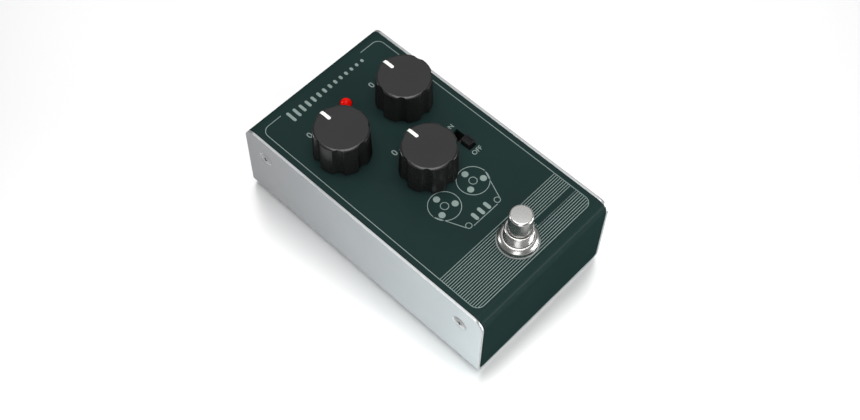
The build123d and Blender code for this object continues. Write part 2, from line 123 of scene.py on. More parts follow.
def angle(label, words, size):
    """Property that holds an angle in radians."""
    return FloatProperty(name=label, description=words, default=size, unit="ROTATION", subtype="ANGLE")


def colour(label, words, value):
    """Property that holds a linear colour."""
    return FloatVectorProperty(
        name=label, description=words, default=value, size=3, min=0.0, max=1.0, subtype="COLOR"
    )


class EchoBoxSizes(bpy.types.PropertyGroup):
    sheet: length("Sheet", "Thickness of the cover and the base", 0.0012)
    cover_bend: length("Cover bend", "Outer radius of the cover's two bends", 0.005)
    base_bend: length("Base bend", "Outer radius of the base's two bends", 0.0032)
    screw_head: length("Screw head", "Radius of the side screws' heads", 0.0031)


class EchoControlSizes(bpy.types.PropertyGroup):
    knob_base: length("Knob base", "Radius of a knob at its foot", 0.0119)
    knob_shoulder: length("Knob shoulder", "Radius of a knob under its rim", 0.01135)
    knob_top: length("Knob top", "Radius of a knob's flat top", 0.01)
    knob_lift: length("Knob lift", "Gap between the panel and a knob", 0.0007)
    knob_rise: length("Knob rise", "Height of a knob's top above the panel", 0.0162)
    knob_rim: length("Knob rim", "Height of a knob's rolled rim", 0.0005)
    flute_count: IntProperty(name="Flutes", description="Scallops round a knob", default=7, min=3)
    flute_radius: length("Flute radius", "Radius of a scallop", 0.0029)
    flute_floor: length("Flute floor", "Distance of a scallop's floor from the axis", 0.01055)
    pointer_length: length("Pointer length", "Length of the white line on a knob", 0.00535)
    pointer_width: length("Pointer width", "Width of the white line", 0.0015)
    lamp_radius: length("Lamp radius", "Radius of the lamp", 0.0025)
    slider_width: length("Slider width", "Width of the slider", 0.0036)
    slider_length: length("Slider length", "Length of the slider", 0.0044)


class EchoFootSwitchSizes(bpy.types.PropertyGroup):
    plunger_radius: length("Plunger radius", "Radius of the plunger", 0.00475)
    plunger_rise: length("Plunger rise", "Height of the plunger above the panel", 0.0187)
    bush_radius: length("Bush radius", "Outer radius of the bush", 0.00595)
    washer_radius: length("Washer radius", "Radius of the washer under the nut", 0.0086)
    washer_sheet: length("Washer sheet", "Thickness of the washer", 0.0006)
    nut_radius: length("Nut radius", "Radius of the dress nut's rim", 0.0083)
    nut_height: length("Nut height", "Height of the dress nut", 0.0036)
    nut_rim: length("Nut rim", "Height of the nut's upright side", 0.002)
    nut_edge: length("Nut edge", "Rounding of the nut's lower edge", 0.00015)
    nut_neck: length("Nut neck", "Radius of the nut's flat top", 0.0065)
    nut_slope: angle("Nut slope", "Slope where the nut's dome leaves its flat top", radians(20))


class EchoSocketSizes(bpy.types.PropertyGroup):
    bush_radius: length("Bush radius", "Radius of a jack's bush", 0.00475)
    washer_radius: length("Washer radius", "Radius of a jack's washer", 0.007)
    washer_sheet: length("Washer sheet", "Thickness of a jack's washer", 0.0004)
    nut_flats: length("Nut flats", "Width of a jack's nut across its flats", 0.0127)
    nut_height: length("Nut height", "Height of a jack's nut", 0.0018)
    nut_edge: length("Nut edge", "Bevel of a nut's corners", 0.0004)


class EchoPrintSizes(bpy.types.PropertyGroup):
    ink: length("Ink", "Height of the print above the paint", 0.00003)
    line: length("Line", "Width of the border line", 0.0003)
    stripe: length("Stripe", "Width of a stripe", 0.00025)
    half_width: length("Half width", "Border line from the middle to its sides", 0.0332)
    rear: length("Rear", "Rear border line", 0.0571)
    front: length("Front", "Front border line", -0.0602)
    corner: length("Corner", "Rounding of the border", 0.0035)
    gap: length("Gap", "Half the opening in the rear line", 0.0228)
    stripe_count: IntProperty(name="Stripes", description="Stripes behind the front line", default=19)
    stripe_pitch: length("Stripe pitch", "Distance between stripes", 0.001014)
    blank_left: length("Blank left", "Left end of the bare strip", 0.0105)
    blank_right: length("Blank right", "Right end of the bare strip", 0.0328)
    blank_front: length("Blank front", "Front of the bare strip", -0.0521)
    blank_rear: length("Blank rear", "Rear of the bare strip", -0.0496)
    motif_y: length("Motif place", "Middle of the reel drawing", -0.0236)
    reel_x: length("Reel place", "Reels from the middle line", 0.0082)
    reel_rise: length("Reel rise", "Reels above the drawing's middle", 0.0036)
    reel_radius: length("Reel radius", "Outer radius of a reel", 0.0068)
    reel_hub: length("Reel hub", "Radius of a reel's hub", 0.0018)
    reel_window: length("Reel window", "Radius of a reel's windows", 0.0014)
    tape_drop: length("Tape drop", "Tape's lower run below the drawing's middle", 0.0092)
    head_pitch: length("Head pitch", "Distance between the drawing's tape heads", 0.0035)
    head_width: length("Head width", "Width of a tape head", 0.0016)
    head_height: length("Head height", "Height of a tape head", 0.0022)
    bar_y: length("Bars place", "Middle of the row of bars", 0.0537)
    bar_width: length("Bar width", "Width of a bar", 0.0013)
    bar_height: length("Bar height", "Height of the tallest bar", 0.0056)
    bar_pitch: length("Bar pitch", "Distance between bars", 0.0031)
    bar_count: IntProperty(name="Bars", description="Bars in the row", default=14, min=2)
    bar_fade: FloatProperty(name="Bar fade", description="Height of a bar against the one before", default=0.82)
    number_size: length("Number size", "Size of the dial numbers", 0.0040)
    number_back: length("Number place", "Numbers behind a knob's middle", 0.0150)
    word_size: length("Word size", "Size of the words at the slide switch", 0.0029)
    on_y: length("On place", "Middle of the word behind the slide switch", 0.0039)
    off_y: length("Off place", "Middle of the word before the slide switch", -0.0115)


class EchoColours(bpy.types.PropertyGroup):
    paint: colour("Paint", "Dark green satin paint", (0.0128, 0.0281, 0.0264))
    ink: colour("Ink", "Pale print on the paint", (0.215, 0.275, 0.258))
    # Painted light on the aluminium sheet: the first colour is its lit tone towards the player, the second a
    # painted shade towards the sockets
    aluminium: colour("Aluminium", "Matt aluminium sheet towards the player", (0.577, 0.642, 0.658))
    aluminium_far: colour("Far aluminium", "Matt aluminium sheet towards the sockets", (0.294, 0.297, 0.308))
    cut_edge: colour("Cut edge", "Cut edges of the aluminium sheet", (0.47, 0.485, 0.49))
    knob: colour("Knob", "Satin black moulding", (0.012, 0.012, 0.012))
    pointer: colour("Pointer", "White line on a knob", (0.86, 0.86, 0.83))
    lamp: colour("Lamp", "Red lamp", (0.74, 0.004, 0.0012))
    chrome: colour("Chrome", "Bright plating", (0.45, 0.448, 0.437))
    steel: colour("Steel", "Plated steel", (0.4, 0.405, 0.41))
    brass: colour("Brass", "Plated brass", (0.62, 0.44, 0.18))
    nylon: colour("Nylon", "Translucent washer", (0.42, 0.45, 0.44))
    rubber: colour("Rubber", "Feet", (0.018, 0.018, 0.018))
    black: colour("Black moulding", "Switch and socket mouldings", (0.008, 0.008, 0.008))
    blue: colour("Blue moulding", "Foot switch case", (0.02, 0.09, 0.30))
    board: colour("Board", "Circuit boards", (0.015, 0.10, 0.035))
    sleeve: colour("Sleeve", "Capacitor sleeves", (0.02, 0.02, 0.035))
    ribbon: colour("Ribbon", "Flat cable", (0.42, 0.42, 0.44))
    floor: colour("Floor", "Pale floor", (0.97, 0.97, 0.97))


class EchoStageSizes(bpy.types.PropertyGroup):
    azimuth: angle("Azimuth", "Camera's turn round the pedal", radians(-48.118))
    elevation: angle("Elevation", "Camera's height angle", radians(58.107))
    roll: angle("Roll", "Camera's tilt", radians(-1.788))
    distance: length("Distance", "Camera to the pedal's middle", 0.54134)
    aside: length("Aside", "Pedal's middle to the right of the view's middle", -0.002938)
    below: length("Below", "Pedal's middle below the view's middle", 0.003015)
    middle_y: length("Middle", "Middle of the box along the panel", -0.0013)
    middle_z: length("Foot", "Underside of the box above the floor", 0.001)
    lens: FloatProperty(name="Lens", description="Focal length in millimetres", default=53.732, unit="CAMERA")
    sensor: FloatProperty(name="Sensor", description="Sensor width in millimetres", default=36.0, unit="CAMERA")
    floor_size: length("Floor size", "Width of the floor", 6.0)
    sky: FloatProperty(name="Sky", description="Strength of the even light all round", default=0.28, min=0.0)
    aim: length("Aim", "Height that the lights face", 0.02)


softboxes = (
    # name, place, width in metres, watts
    ("overhead_softbox", (-0.05, -0.05, 1.5), 1.0, 15.5),
    ("far_softbox", (0.75, 0.67, 1.6), 1.9, 7.4),
    ("front_softbox", (-0.9, -0.8, 0.94), 0.5, 3.5),
    ("front_right_softbox", (0.44, -0.95, 0.36), 0.3, 3.6),
    ("left_softbox", (-0.35, -0.3, 0.14), 0.22, 0.4),
    ("right_softbox", (0.62, -0.58, 0.32), 0.24, 1.8),
    ("rear_softbox", (-0.45, 0.74, 0.32), 0.24, 1.8),
)
weld = 0.000002  # points of a turned piece that are nearer than this are one
round_share = 0.98  # share of a bar's half width that its round end takes up
thread_crest = (0.44, 0.56)  # where a thread's crest starts and ends, in shares of the pitch


def deselect():
    """Leave edit mode and select nothing."""
    if bpy.context.object and bpy.context.object.mode != "OBJECT":
        bpy.ops.object.mode_set(mode="OBJECT")
    bpy.ops.object.select_all(action="DESELECT")


def activate(piece):
    """Make one piece the only selected one."""
    deselect()
    piece.select_set(True)
    bpy.context.view_layer.objects.active = piece
    return piece


def named(name):
    """Give the new piece and its mesh a name, with its place in the mesh."""
    piece = bpy.context.active_object
    piece.name = name
    piece.data.name = name
    bpy.ops.object.transform_apply(location=True, rotation=True, scale=True)
    return piece


def edit(piece):
    """Open one piece in edit mode."""
    activate(piece)
    bpy.ops.object.mode_set(mode="EDIT")


def pick(kind, test):
    """Select the vertices, edges or faces that pass a test, in edit mode."""
    bpy.ops.mesh.select_mode(type=kind)
    bpy.ops.mesh.select_all(action="DESELECT")
    mesh = bpy.context.edit_object.data
    shape = bmesh.from_edit_mesh(mesh)
    shape.normal_update()
    for item in {"VERT": shape.verts, "EDGE": shape.edges, "FACE": shape.faces}[kind]:
        if test(item):
            item.select_set(True)
    shape.select_flush_mode()
    bmesh.update_edit_mesh(mesh)


def upright(side):
    """Whether an edge runs mostly up and down."""
    run = side.verts[1].co - side.verts[0].co
    return abs(run.z) > 0.9 * run.length


def round_off(kind, test, radius, steps):
    """Round the edges or vertices that pass a test, in edit mode."""
    pick(kind, test)
    bpy.ops.mesh.bevel(offset=radius, segments=steps, affect={"EDGE": "EDGES", "VERT": "VERTICES"}[kind])


def block(name, low, high):
    """Box between two corners."""
    low, high = Vector(low), Vector(high)
    deselect()
    bpy.ops.mesh.primitive_cube_add(size=1, location=(low + high) / 2, scale=high - low)
    return named(name)


def plate(name, low, high, corner, steps, test=upright):
    """Box whose upright edges, or those that pass a test, are rounded."""
    piece = block(name, low, high)
    edit(piece)
    round_off("EDGE", test, corner, steps)
    deselect()
    return piece


def fold(name, low, high, opened, bend, steps):
    """Box of sheet without its opened faces and bent at its corners, left in edit mode."""
    piece = block(name, low, high)
    edit(piece)
    pick("FACE", opened)
    bpy.ops.mesh.delete(type="FACE")
    round_off("EDGE", lambda side: len(side.link_faces) == 2, bend, steps)
    return piece


def thicken(piece, sheet, rim=0):
    """Give folded sheet its thickness, with the finish of its cut edges as so many slots further on."""
    modify(piece, "SOLIDIFY", thickness=sheet, offset=-1, use_even_offset=True, material_offset_rim=rim)


def rod(name, start, end, radius, tip=None, sides=64):
    """Round or tapered bar between two points."""
    start, end = Vector(start), Vector(end)
    run = end - start
    deselect()
    bpy.ops.mesh.primitive_cone_add(
        vertices=sides,
        radius1=radius,
        radius2=radius if tip is None else tip,
        depth=run.length,
        location=(start + end) / 2,
        rotation=run.to_track_quat("Z", "Y").to_euler(),
    )
    return named(name)


def modify(piece, kind, **values):
    """Add a modifier, set it and apply it."""
    activate(piece)
    bpy.ops.object.modifier_add(type=kind)
    modifier = piece.modifiers[-1]
    for key, value in values.items():
        setattr(modifier, key, value)
    bpy.ops.object.modifier_apply(modifier=modifier.name)


def cut(piece, *tools, how="DIFFERENCE"):
    """Cut a piece with one or more tools, which are used up."""
    for tool in tools:
        modify(piece, "BOOLEAN", operation=how, solver="EXACT", object=tool)
        bpy.data.objects.remove(tool)


def soften(piece, width, steps=2, limit=40):
    """Bevel the edges that are sharper than a limit in degrees."""
    modify(piece, "BEVEL", width=width, segments=steps, limit_method="ANGLE", angle_limit=radians(limit))


def smooth(piece, limit=35):
    """Smooth shading that keeps flat faces flat and edges sharper than a limit in degrees."""
    activate(piece)
    bpy.ops.object.shade_smooth_by_angle(angle=radians(limit))
    modify(piece, "WEIGHTED_NORMAL", keep_sharp=True, weight=60)


def join(name, *pieces):
    """Join pieces into one."""
    activate(pieces[0])
    for piece in pieces[1:]:
        piece.select_set(True)
    bpy.ops.object.join()
    return named(name)


def copy_of(piece, name, shift=(0, 0, 0)):
    """Copy a piece with its own mesh to another place."""
    activate(piece)
    bpy.ops.object.duplicate(linked=False)
    bpy.ops.transform.translate(value=shift)
    return named(name)


def repeat(piece, first, name, shift):
    """The piece itself where it was made, or a copy that is named for another place."""
    return piece if name == first else copy_of(piece, piece.name.replace(first, name), shift)


def arc(across, up, radius, start, end, steps):
    """Points of a profile round a centre, with the angles in degrees from outwards towards up."""
    turns = [radians(start + (end - start) * step / steps) for step in range(steps + 1)]
    return [(across + radius * cos(turn), up + radius * sin(turn)) for turn in turns]


def lathe(name, profile, place, steps=128):
    """Turn a profile of radius and height round an upright axis at a place."""
    place = Vector(place)
    deselect()
    first = Vector((profile[0][0], 0, profile[0][1]))
    bpy.ops.mesh.primitive_plane_add(size=0.001, location=place + first)
    bpy.ops.object.mode_set(mode="EDIT")
    bpy.ops.mesh.select_mode(type="VERT")
    bpy.ops.mesh.select_all(action="SELECT")
    bpy.ops.mesh.merge(type="CENTER")
    for near, far in zip(profile, profile[1:]):
        step = (far[0] - near[0], 0, far[1] - near[1])
        bpy.ops.mesh.extrude_region_move(TRANSFORM_OT_translate={"value": step})
    bpy.ops.mesh.select_all(action="SELECT")
    bpy.ops.mesh.spin(steps=steps, angle=2 * pi, center=place, axis=(0, 0, 1))
    bpy.ops.mesh.select_all(action="SELECT")
    bpy.ops.mesh.remove_doubles(threshold=weld)
    bpy.ops.mesh.normals_make_consistent(inside=False)
    bpy.ops.object.mode_set(mode="OBJECT")
    return named(name)


def turn_to(piece, place, axis):
    """Turn a piece made upright at the origin so that its axis points another way, and move it."""
    activate(piece)
    piece.rotation_euler = Vector(axis).to_track_quat("Z", "Y").to_euler()
    piece.location = place
    return named(piece.name)


def coat(piece, *finishes):
    """Give a piece its finishes in place of those it had."""
    piece.data.materials.clear()
    for finish in finishes:
        piece.data.materials.append(bpy.data.materials[f"{finish} finish"])


def fit(piece, body, nodes=()):
    """Give a piece its body and the nodes that it stands for."""
    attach(piece, body)
    if nodes:
        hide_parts(*nodes)


def dress(piece, body, slot, *nodes):
    """Give a piece the finish of its slot, and fit it."""
    coat(piece, slot)
    fit(piece, body, nodes)


def lay_print(piece):
    """Give a piece of print its ink and lay it on the cover."""
    coat(piece, "pale_ink")
    fit(piece, "chassis")


def middle(node):
    """Middle of a node's box."""
    low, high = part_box(node)
    return (low + high) / 2


def new_group(name, output, **inputs):
    """Start a node group with its inputs and one output, on the piece's own coordinates."""
    group = bpy.data.node_groups.new(name, "ShaderNodeTree")
    for key, value in inputs.items():
        kind = "NodeSocketVector" if isinstance(value, tuple) else "NodeSocketFloat"
        group.interface.new_socket(name=key, in_out="INPUT", socket_type=kind).default_value = value
    group.interface.new_socket(name=output, in_out="OUTPUT", socket_type="NodeSocketFloat")
    kinds = ("NodeGroupInput", "NodeGroupOutput", "ShaderNodeTexCoord")
    return group.nodes, *[group.nodes.new(kind) for kind in kinds]


def wire(start, output, end, entry):
    """Link one node's output to another's input."""
    start.id_data.links.new(start.outputs[output], end.inputs[entry])


def add(nodes, kind, **values):
    """Add a node and set its inputs."""
    node = nodes.new(kind)
    for key, value in values.items():
        node.inputs[key.replace("_", " ")].default_value = value
    return node


def use_group(nodes, name, **values):
    """Add a node that uses a group, and set its inputs."""
    node = nodes.new("ShaderNodeGroup")
    node.node_tree = bpy.data.node_groups[name]
    for key, value in values.items():
        node.inputs[key].default_value = value
    return node


def drift_group():
    """Soft cloudy change over a surface, as a mask from zero to one."""
    nodes, inner, outer, place = new_group("Soft drift", "Mask", Scale=60.0)
    cloud = add(nodes, "ShaderNodeTexNoise", Detail=3.0)
    spread = add(nodes, "ShaderNodeMapRange", From_Min=0.3, From_Max=0.7)
    wire(place, "Object", cloud, "Vector")
    wire(inner, "Scale", cloud, "Scale")
    wire(cloud, "Fac", spread, "Value")
    wire(spread, "Result", outer, "Mask")


def grain_group():
    """Fine grain that may be drawn out along an axis, as a height."""
    nodes, inner, outer, place = new_group("Fine grain", "Height", Scale=4000.0, Stretch=(1.0, 1.0, 1.0))
    drawn = add(nodes, "ShaderNodeMapping")
    grains = add(nodes, "ShaderNodeTexNoise", Detail=2.0)
    wire(place, "Object", drawn, "Vector")
    wire(inner, "Stretch", drawn, "Scale")
    wire(drawn, "Vector", grains, "Vector")
    wire(inner, "Scale", grains, "Scale")
    wire(grains, "Fac", outer, "Height")


def sweep_group(low, high):
    """Painted light: even change along the depth of the box, as a mask from zero to one, from the sheet's lit
    front to its painted shade at the rear.
    """
    nodes, _, outer, place = new_group("Long sweep", "Mask")
    parts = add(nodes, "ShaderNodeSeparateXYZ")
    spread = add(nodes, "ShaderNodeMapRange", From_Min=low, From_Max=high)
    wire(place, "Object", parts, "Vector")
    wire(parts, "Y", spread, "Value")
    wire(spread, "Result", outer, "Mask")


def finish_of(name, base, shade, rough, drift, grain, bump, stretch=(1, 1, 1), **fixed):
    """Finish whose colour and roughness drift between two values, with a fine grain."""
    material = bpy.data.materials.new(f"{name} finish")
    material.use_nodes = True
    nodes = material.node_tree.nodes
    shader = nodes["Principled BSDF"]
    for key, value in fixed.items():
        shader.inputs[key.replace("_", " ")].default_value = value
    cloud = use_group(nodes, "Soft drift", Scale=drift)
    tone = nodes.new("ShaderNodeMix")
    tone.data_type = "RGBA"
    tone.inputs["A"].default_value = (*base, 1)
    tone.inputs["B"].default_value = (*[part * shade for part in base], 1)
    gloss = add(nodes, "ShaderNodeMapRange", To_Min=rough[0], To_Max=rough[1])
    grains = use_group(nodes, "Fine grain", Scale=grain, Stretch=stretch)
    relief = add(nodes, "ShaderNodeBump", Strength=1.0, Distance=bump)
    wire(cloud, "Mask", tone, "Factor")
    wire(tone, "Result", shader, "Base Color")
    wire(cloud, "Mask", gloss, "Value")
    wire(gloss, "Result", shader, "Roughness")
    wire(grains, "Height", relief, "Height")
    wire(relief, "Normal", shader, "Normal")
    return material


class ECHO_OT_finishes(bpy.types.Operator):
    """Mix the finishes and lay them on the frame's own pieces"""

    bl_idname = "echo.finishes"
    bl_label = "Finishes"

    def execute(self, context):
        hue = context.scene.echo_colours
        drift_group()
        grain_group()
        low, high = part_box("base_chassis")
        # mask for the painted light and shade along the aluminium sheet
        sweep_group(low.y, high.y)
        # name, colour, share of it at its darkest, roughness, scales of drift and grain, height of the grain
        shine = {"Specular_IOR_Level": 0.0, "Coat_Roughness": 0.2}
        paint = finish_of("green_paint", hue.paint, 0.92, (0.36, 0.44), 45, 2600, 0.000004, **shine)
        self.face_coat(paint, weight=0.05, near=0.15, far=0.55)
        finish_of("pale_ink", hue.ink, 0.88, (0.5, 0.62), 300, 9000, 0.000002, Specular_IOR_Level=0.2)
        drawn = {"stretch": (1, 0.05, 1), "Metallic": 0.65}
        sheet = finish_of("bare_aluminium", hue.aluminium, 0.97, (0.40, 0.48), 35, 5000, 0.0000015, **drawn)
        # painted light: the aluminium is lighter towards the player and painted darker towards the sockets
        self.sweep(sheet, hue.aluminium_far)
        finish_of("cut_edge", hue.cut_edge, 0.9, (0.34, 0.4), 300, 5000, 0.0000005, Metallic=1.0)
        shine = {"Specular_IOR_Level": 0.0, "Coat_Roughness": 0.22}
        moulding = finish_of("black_knob", hue.knob, 0.85, (0.4, 0.5), 90, 7000, 0.00000008, **shine)
        self.face_coat(moulding, weight=0.8, near=0.5, far=0.78)
        finish_of("white_inlay", hue.pointer, 0.95, (0.45, 0.55), 500, 6000, 0.000002)
        finish_of("chrome", hue.chrome, 0.96, (0.24, 0.28), 220, 3000, 0.0000001, Metallic=1.0)
        finish_of("steel", hue.steel, 0.9, (0.28, 0.38), 160, 5000, 0.0000008, Metallic=1.0)
        finish_of("brass", hue.brass, 0.9, (0.25, 0.35), 160, 5000, 0.0000008, Metallic=1.0)
        finish_of("clear_nylon", hue.nylon, 0.93, (0.32, 0.42), 200, 4000, 0.000002, Transmission_Weight=0.35)
        finish_of("rubber", hue.rubber, 0.8, (0.7, 0.85), 120, 3500, 0.00001)
        finish_of("black_plastic", hue.black, 0.85, (0.26, 0.32), 150, 6000, 0.000001, Specular_IOR_Level=0.2)
        finish_of("blue_plastic", hue.blue, 0.9, (0.35, 0.45), 120, 6000, 0.000003)
        finish_of("board_green", hue.board, 0.75, (0.3, 0.4), 130, 1800, 0.000006)
        finish_of("dark_sleeve", hue.sleeve, 0.85, (0.22, 0.3), 100, 3000, 0.000002)
        finish_of("grey_ribbon", hue.ribbon, 0.9, (0.4, 0.5), 100, 800, 0.00003, (1, 0.02, 0.02))
        lamp = finish_of("red_lens", hue.lamp, 0.8, (0.1, 0.14), 250, 2000, 0.0000001, Specular_IOR_Level=0.08)
        self.glow(lamp, 0.08)
        for part in frame["record"]["subparts"]:
            coat(frame["nodes"][part["node"]], part["material_slot"])
        return {"FINISHED"}

    def glow(self, material, strength):
        """Faint light of a finish in its own colour."""
        nodes = material.node_tree.nodes
        shader = nodes["Principled BSDF"]
        shader.inputs["Emission Strength"].default_value = strength
        wire(nodes["Mix"], "Result", shader, "Emission Color")

    def sweep(self, material, far):
        """Painted light: the sheet's colour runs from its lit tone at the front to a painted shade at the rear,
        standing in for the light that falls off along it.
        """
        nodes = material.node_tree.nodes
        mask = use_group(nodes, "Long sweep")
        blend = nodes.new("ShaderNodeMix")
        blend.data_type = "RGBA"
        # the painted shade at the sockets' end of the sheet
        blend.inputs["B"].default_value = (*far, 1)
        wire(mask, "Mask", blend, "Factor")
        wire(nodes["Mix"], "Result", blend, "A")
        wire(blend, "Result", nodes["Principled BSDF"], "Base Color")

    def face_coat(self, material, weight, near, far):
        """Clear coat that shows where a surface faces the eye and fades at a glance."""
        nodes = material.node_tree.nodes
        glance = nodes.new("ShaderNodeLayerWeight")
        fade = add(nodes, "ShaderNodeMapRange", From_Min=near, From_Max=far, To_Min=weight, To_Max=0.0)
        wire(glance, "Facing", fade, "Value")
        wire(fade, "Result", nodes["Principled BSDF"], "Coat Weight")


class ECHO_OT_cover(bpy.types.Operator):
    """Fold the painted cover from one sheet and cut its holes"""

    bl_idname = "echo.cover"
    bl_label = "Painted cover"

    def execute(self, context):
        size = context.scene.echo_box
        low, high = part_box("top_cover")

        def opened(face):
            return abs(face.normal.x) > 0.5 or face.normal.z < -0.5

        cover = fold("painted_cover", low, high, opened, size.cover_bend, 16)
        round_off("VERT", lambda point: point.co.z < low.z + size.sheet, wall_corner, 8)
        thicken(cover, size.sheet)
        soften(cover, sheet_edge, 2, 60)
        over, under = panel_z + size.sheet, panel_z - 3 * size.sheet
        outside, inside = rear_y + size.sheet, rear_y - 3 * size.sheet
        panel_holes = [(f"{name}_shaft", pot_hole, 64) for name in controls]
        panel_holes += [("led_lens", lamp_hole, 64), ("footswitch_plunger", foot_hole, 96)]
        for node, radius, sides in panel_holes:
            x, y = middle(node).xy
            cut(cover, rod("tool", (x, y, under), (x, y, over), radius, sides=sides))
        x, y = middle("slide_switch_slider").x, slot_y
        wide, long = slot_width / 2, slot_length / 2
        cut(cover, block("tool", (x - wide, y - long, under), (x + wide, y + long, over)))
        rear_holes = [(f"{name}_jack_nut", jack_hole) for name in ("input", "output")]
        for node, radius in (*rear_holes, ("dc_inlet_pin", inlet_hole)):
            x, z = middle(node).xz
            cut(cover, rod("tool", (x, inside, z), (x, outside, z), radius))
        smooth(cover)
        dress(cover, "chassis", "green_paint", "top_cover")
        return {"FINISHED"}


class ECHO_OT_base(bpy.types.Operator):
    """Fold the aluminium base from one sheet and sink its screw holes"""

    bl_idname = "echo.base"
    bl_label = "Aluminium base"

    def execute(self, context):
        size = context.scene.echo_box
        low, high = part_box("base_chassis")

        def opened(face):
            return abs(face.normal.y) > 0.5 or face.normal.z > 0.5

        base = fold("aluminium_base", low, high, opened, size.base_bend, 12)
        round_off("VERT", lambda point: point.co.z > high.z - size.sheet, size.cover_bend, 16)
        deselect()
        coat(base, "bare_aluminium", "cut_edge")
        thicken(base, size.sheet, 1)
        soften(base, sheet_edge, 2, 60)
        wide = size.screw_head + screw_gap
        slope = (size.screw_head - screw_shank) / screw_depth
        deep, above = size.sheet * 1.5, size.sheet / 2
        for corner in corners:
            y, z = middle(f"side_screw_{corner}").yz
            side = -1 if "left" in corner else 1
            start, end = side * (high.x - deep), side * (high.x + above)
            cut(base, rod("tool", (start, y, z), (end, y, z), wide - slope * deep, wide + slope * above))
        smooth(base)
        fit(base, "chassis", ["base_chassis"])
        return {"FINISHED"}


class ECHO_OT_screws(bpy.types.Operator):
    """Turn one countersunk screw, cut its recess and copy it to the four places"""

    bl_idname = "echo.screws"
    bl_label = "Side screws"

    def execute(self, context):
        size = context.scene.echo_box
        low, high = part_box(f"side_screw_{corners[0]}")
        run, edge, head, shank = high.x - low.x, sheet_edge, size.screw_head, screw_shank
        profile = [(0, 0), (head - 2 * edge, 0), (head - edge / 2, -edge / 2), (head, -edge)]
        profile += [(shank, -screw_depth), (shank, -run + edge), (shank - edge, -run), (0, -run)]
        pattern = lathe("tool", profile, (0, 0, 0), 64)
        arm, half, deep = recess_length / 2, recess_width / 2, recess_depth
        for x, y in ((arm, half), (half, arm)):
            cut(pattern, block("tool", (-x, -y, -deep), (x, y, deep)))
        smooth(pattern, 30)
        for corner in corners:
            node = f"side_screw_{corner}"
            low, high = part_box(node)
            y, z = middle(node).yz
            screw = copy_of(pattern, f"side_screw_head_{corner}")
            if "left" in corner:
                turn_to(screw, (low.x, y, z), (-1, 0, 0))
            else:
                turn_to(screw, (high.x, y, z), (1, 0, 0))
            dress(screw, "chassis", "steel", node)
        bpy.data.objects.remove(pattern)
        return {"FINISHED"}


class ECHO_OT_feet(bpy.types.Operator):
    """Turn one low rubber foot and copy it to the four corners"""

    bl_idname = "echo.feet"
    bl_label = "Rubber feet"

    def execute(self, context):
        size = context.scene.echo_box
        start = corners[0]
        low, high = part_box(f"foot_{start}")
        radius, height, edge = (high.x - low.x) / 2, high.z, foot_round
        profile = [(0, edge / 3), (radius / 2, edge / 3), (radius / 2 + edge, 0), (radius - edge, 0)]
        profile += arc(radius - edge, edge, edge, -90, 0, 5)[1:]
        profile += [(radius, height), (0, height)]
        first = middle(f"foot_{start}")
        foot = lathe(f"rubber_foot_{start}", profile, (first.x, first.y, 0), 64)
        smooth(foot, 50)
        for corner in corners:
            piece = repeat(foot, start, corner, middle(f"foot_{corner}") - first)
            dress(piece, "chassis", "rubber", f"foot_{corner}")
        return {"FINISHED"}


class ECHO_OT_knobs(bpy.types.Operator):
    """Shape one fluted knob with its white line and copy it to the three shafts"""

    bl_idname = "echo.knobs"
    bl_label = "Fluted knobs"

    def execute(self, context):
        size = context.scene.echo_controls
        start = controls[0]
        first = middle(f"{start}_shaft")
        x, y = first.xy
        foot, top = panel_z + size.knob_lift, panel_z + size.knob_rise
        rim, over = size.knob_rim, size.knob_lift / 2
        lean = (size.knob_base - size.knob_shoulder) / (top - rim - foot)
        tip = size.knob_shoulder - 2 * rim * lean
        spread = 40  # steps of the outline from one flute to the next
        count = spread * size.flute_count
        knob = rod(f"{start}_fluted_knob", (x, y, foot), (x, y, top + rim), size.knob_base, sides=count)
        edit(knob)
        for level, radius in ((foot, size.knob_base), (top + rim, tip)):
            for step in range(spread // 2 + 1):

                def at_step(point):
                    at_level = abs(point.co.z - level) < over
                    return at_level and flute_step(point.co - first, spread, count) == step

                share = scallop(2 * pi * step / count, radius, size) / size.knob_base
                pick("VERT", at_step)
                bpy.ops.transform.resize(value=(share, share, 1), center_override=(x, y, 0))
        deselect()
        run = size.knob_shoulder - size.knob_top
        roll = (run**2 + rim**2) / (2 * rim)
        turn = degrees(asin(run / roll))
        past = 4  # degrees that the rolled rim runs on past the shoulder
        rolled = arc(size.knob_top, size.knob_rise - roll, roll, 90 - turn - past, 90, 10)
        clear = 2 * size.knob_base
        rolled = [(0, over), (clear, over), (clear, rolled[0][1]), *rolled, (0, size.knob_rise)]
        cut(knob, lathe("tool", rolled, (x, y, panel_z), 36 * size.flute_count), how="INTERSECT")
        line = copy_of(knob, f"{start}_white_line")
        cut(line, pointer_tool(x, y, top, size, pointer_gap), how="INTERSECT")
        cut(knob, pointer_tool(x, y, top, size, 0))
        hollow = panel_z + skirt_rise
        cut(knob, rod("tool", (x, y, foot - over), (x, y, hollow), skirt_radius, sides=96))
        smooth(knob, 28)
        smooth(line, 28)
        for name in controls:
            shift = middle(f"{name}_shaft") - first
            for piece, word, slot in ((knob, "knob", "black_knob"), (line, "pointer", "white_inlay")):
                part = repeat(piece, start, name, shift)
                dress(part, f"{name}_control", slot, f"{name}_{word}")
        return {"FINISHED"}


def scallop(turn, radius, size):
    """Radius of a fluted knob at an angle from the middle of a flute, with a softened edge."""
    reach = size.flute_floor + size.flute_radius
    aside = reach * sin(turn)
    if aside > size.flute_radius:
        return radius
    floor = reach * cos(turn) - sqrt(size.flute_radius**2 - aside**2)
    near = max(0, 1 - abs(radius - floor) / flute_edge)
    return min(radius, floor) - near**2 * flute_edge / 4


def flute_step(place, spread, count):
    """Steps of the knob's outline between a point and the middle of the nearest flute."""
    step = round((atan2(place.y, place.x) / (2 * pi) - 0.25) * count) % spread
    return abs(step - spread // 2)


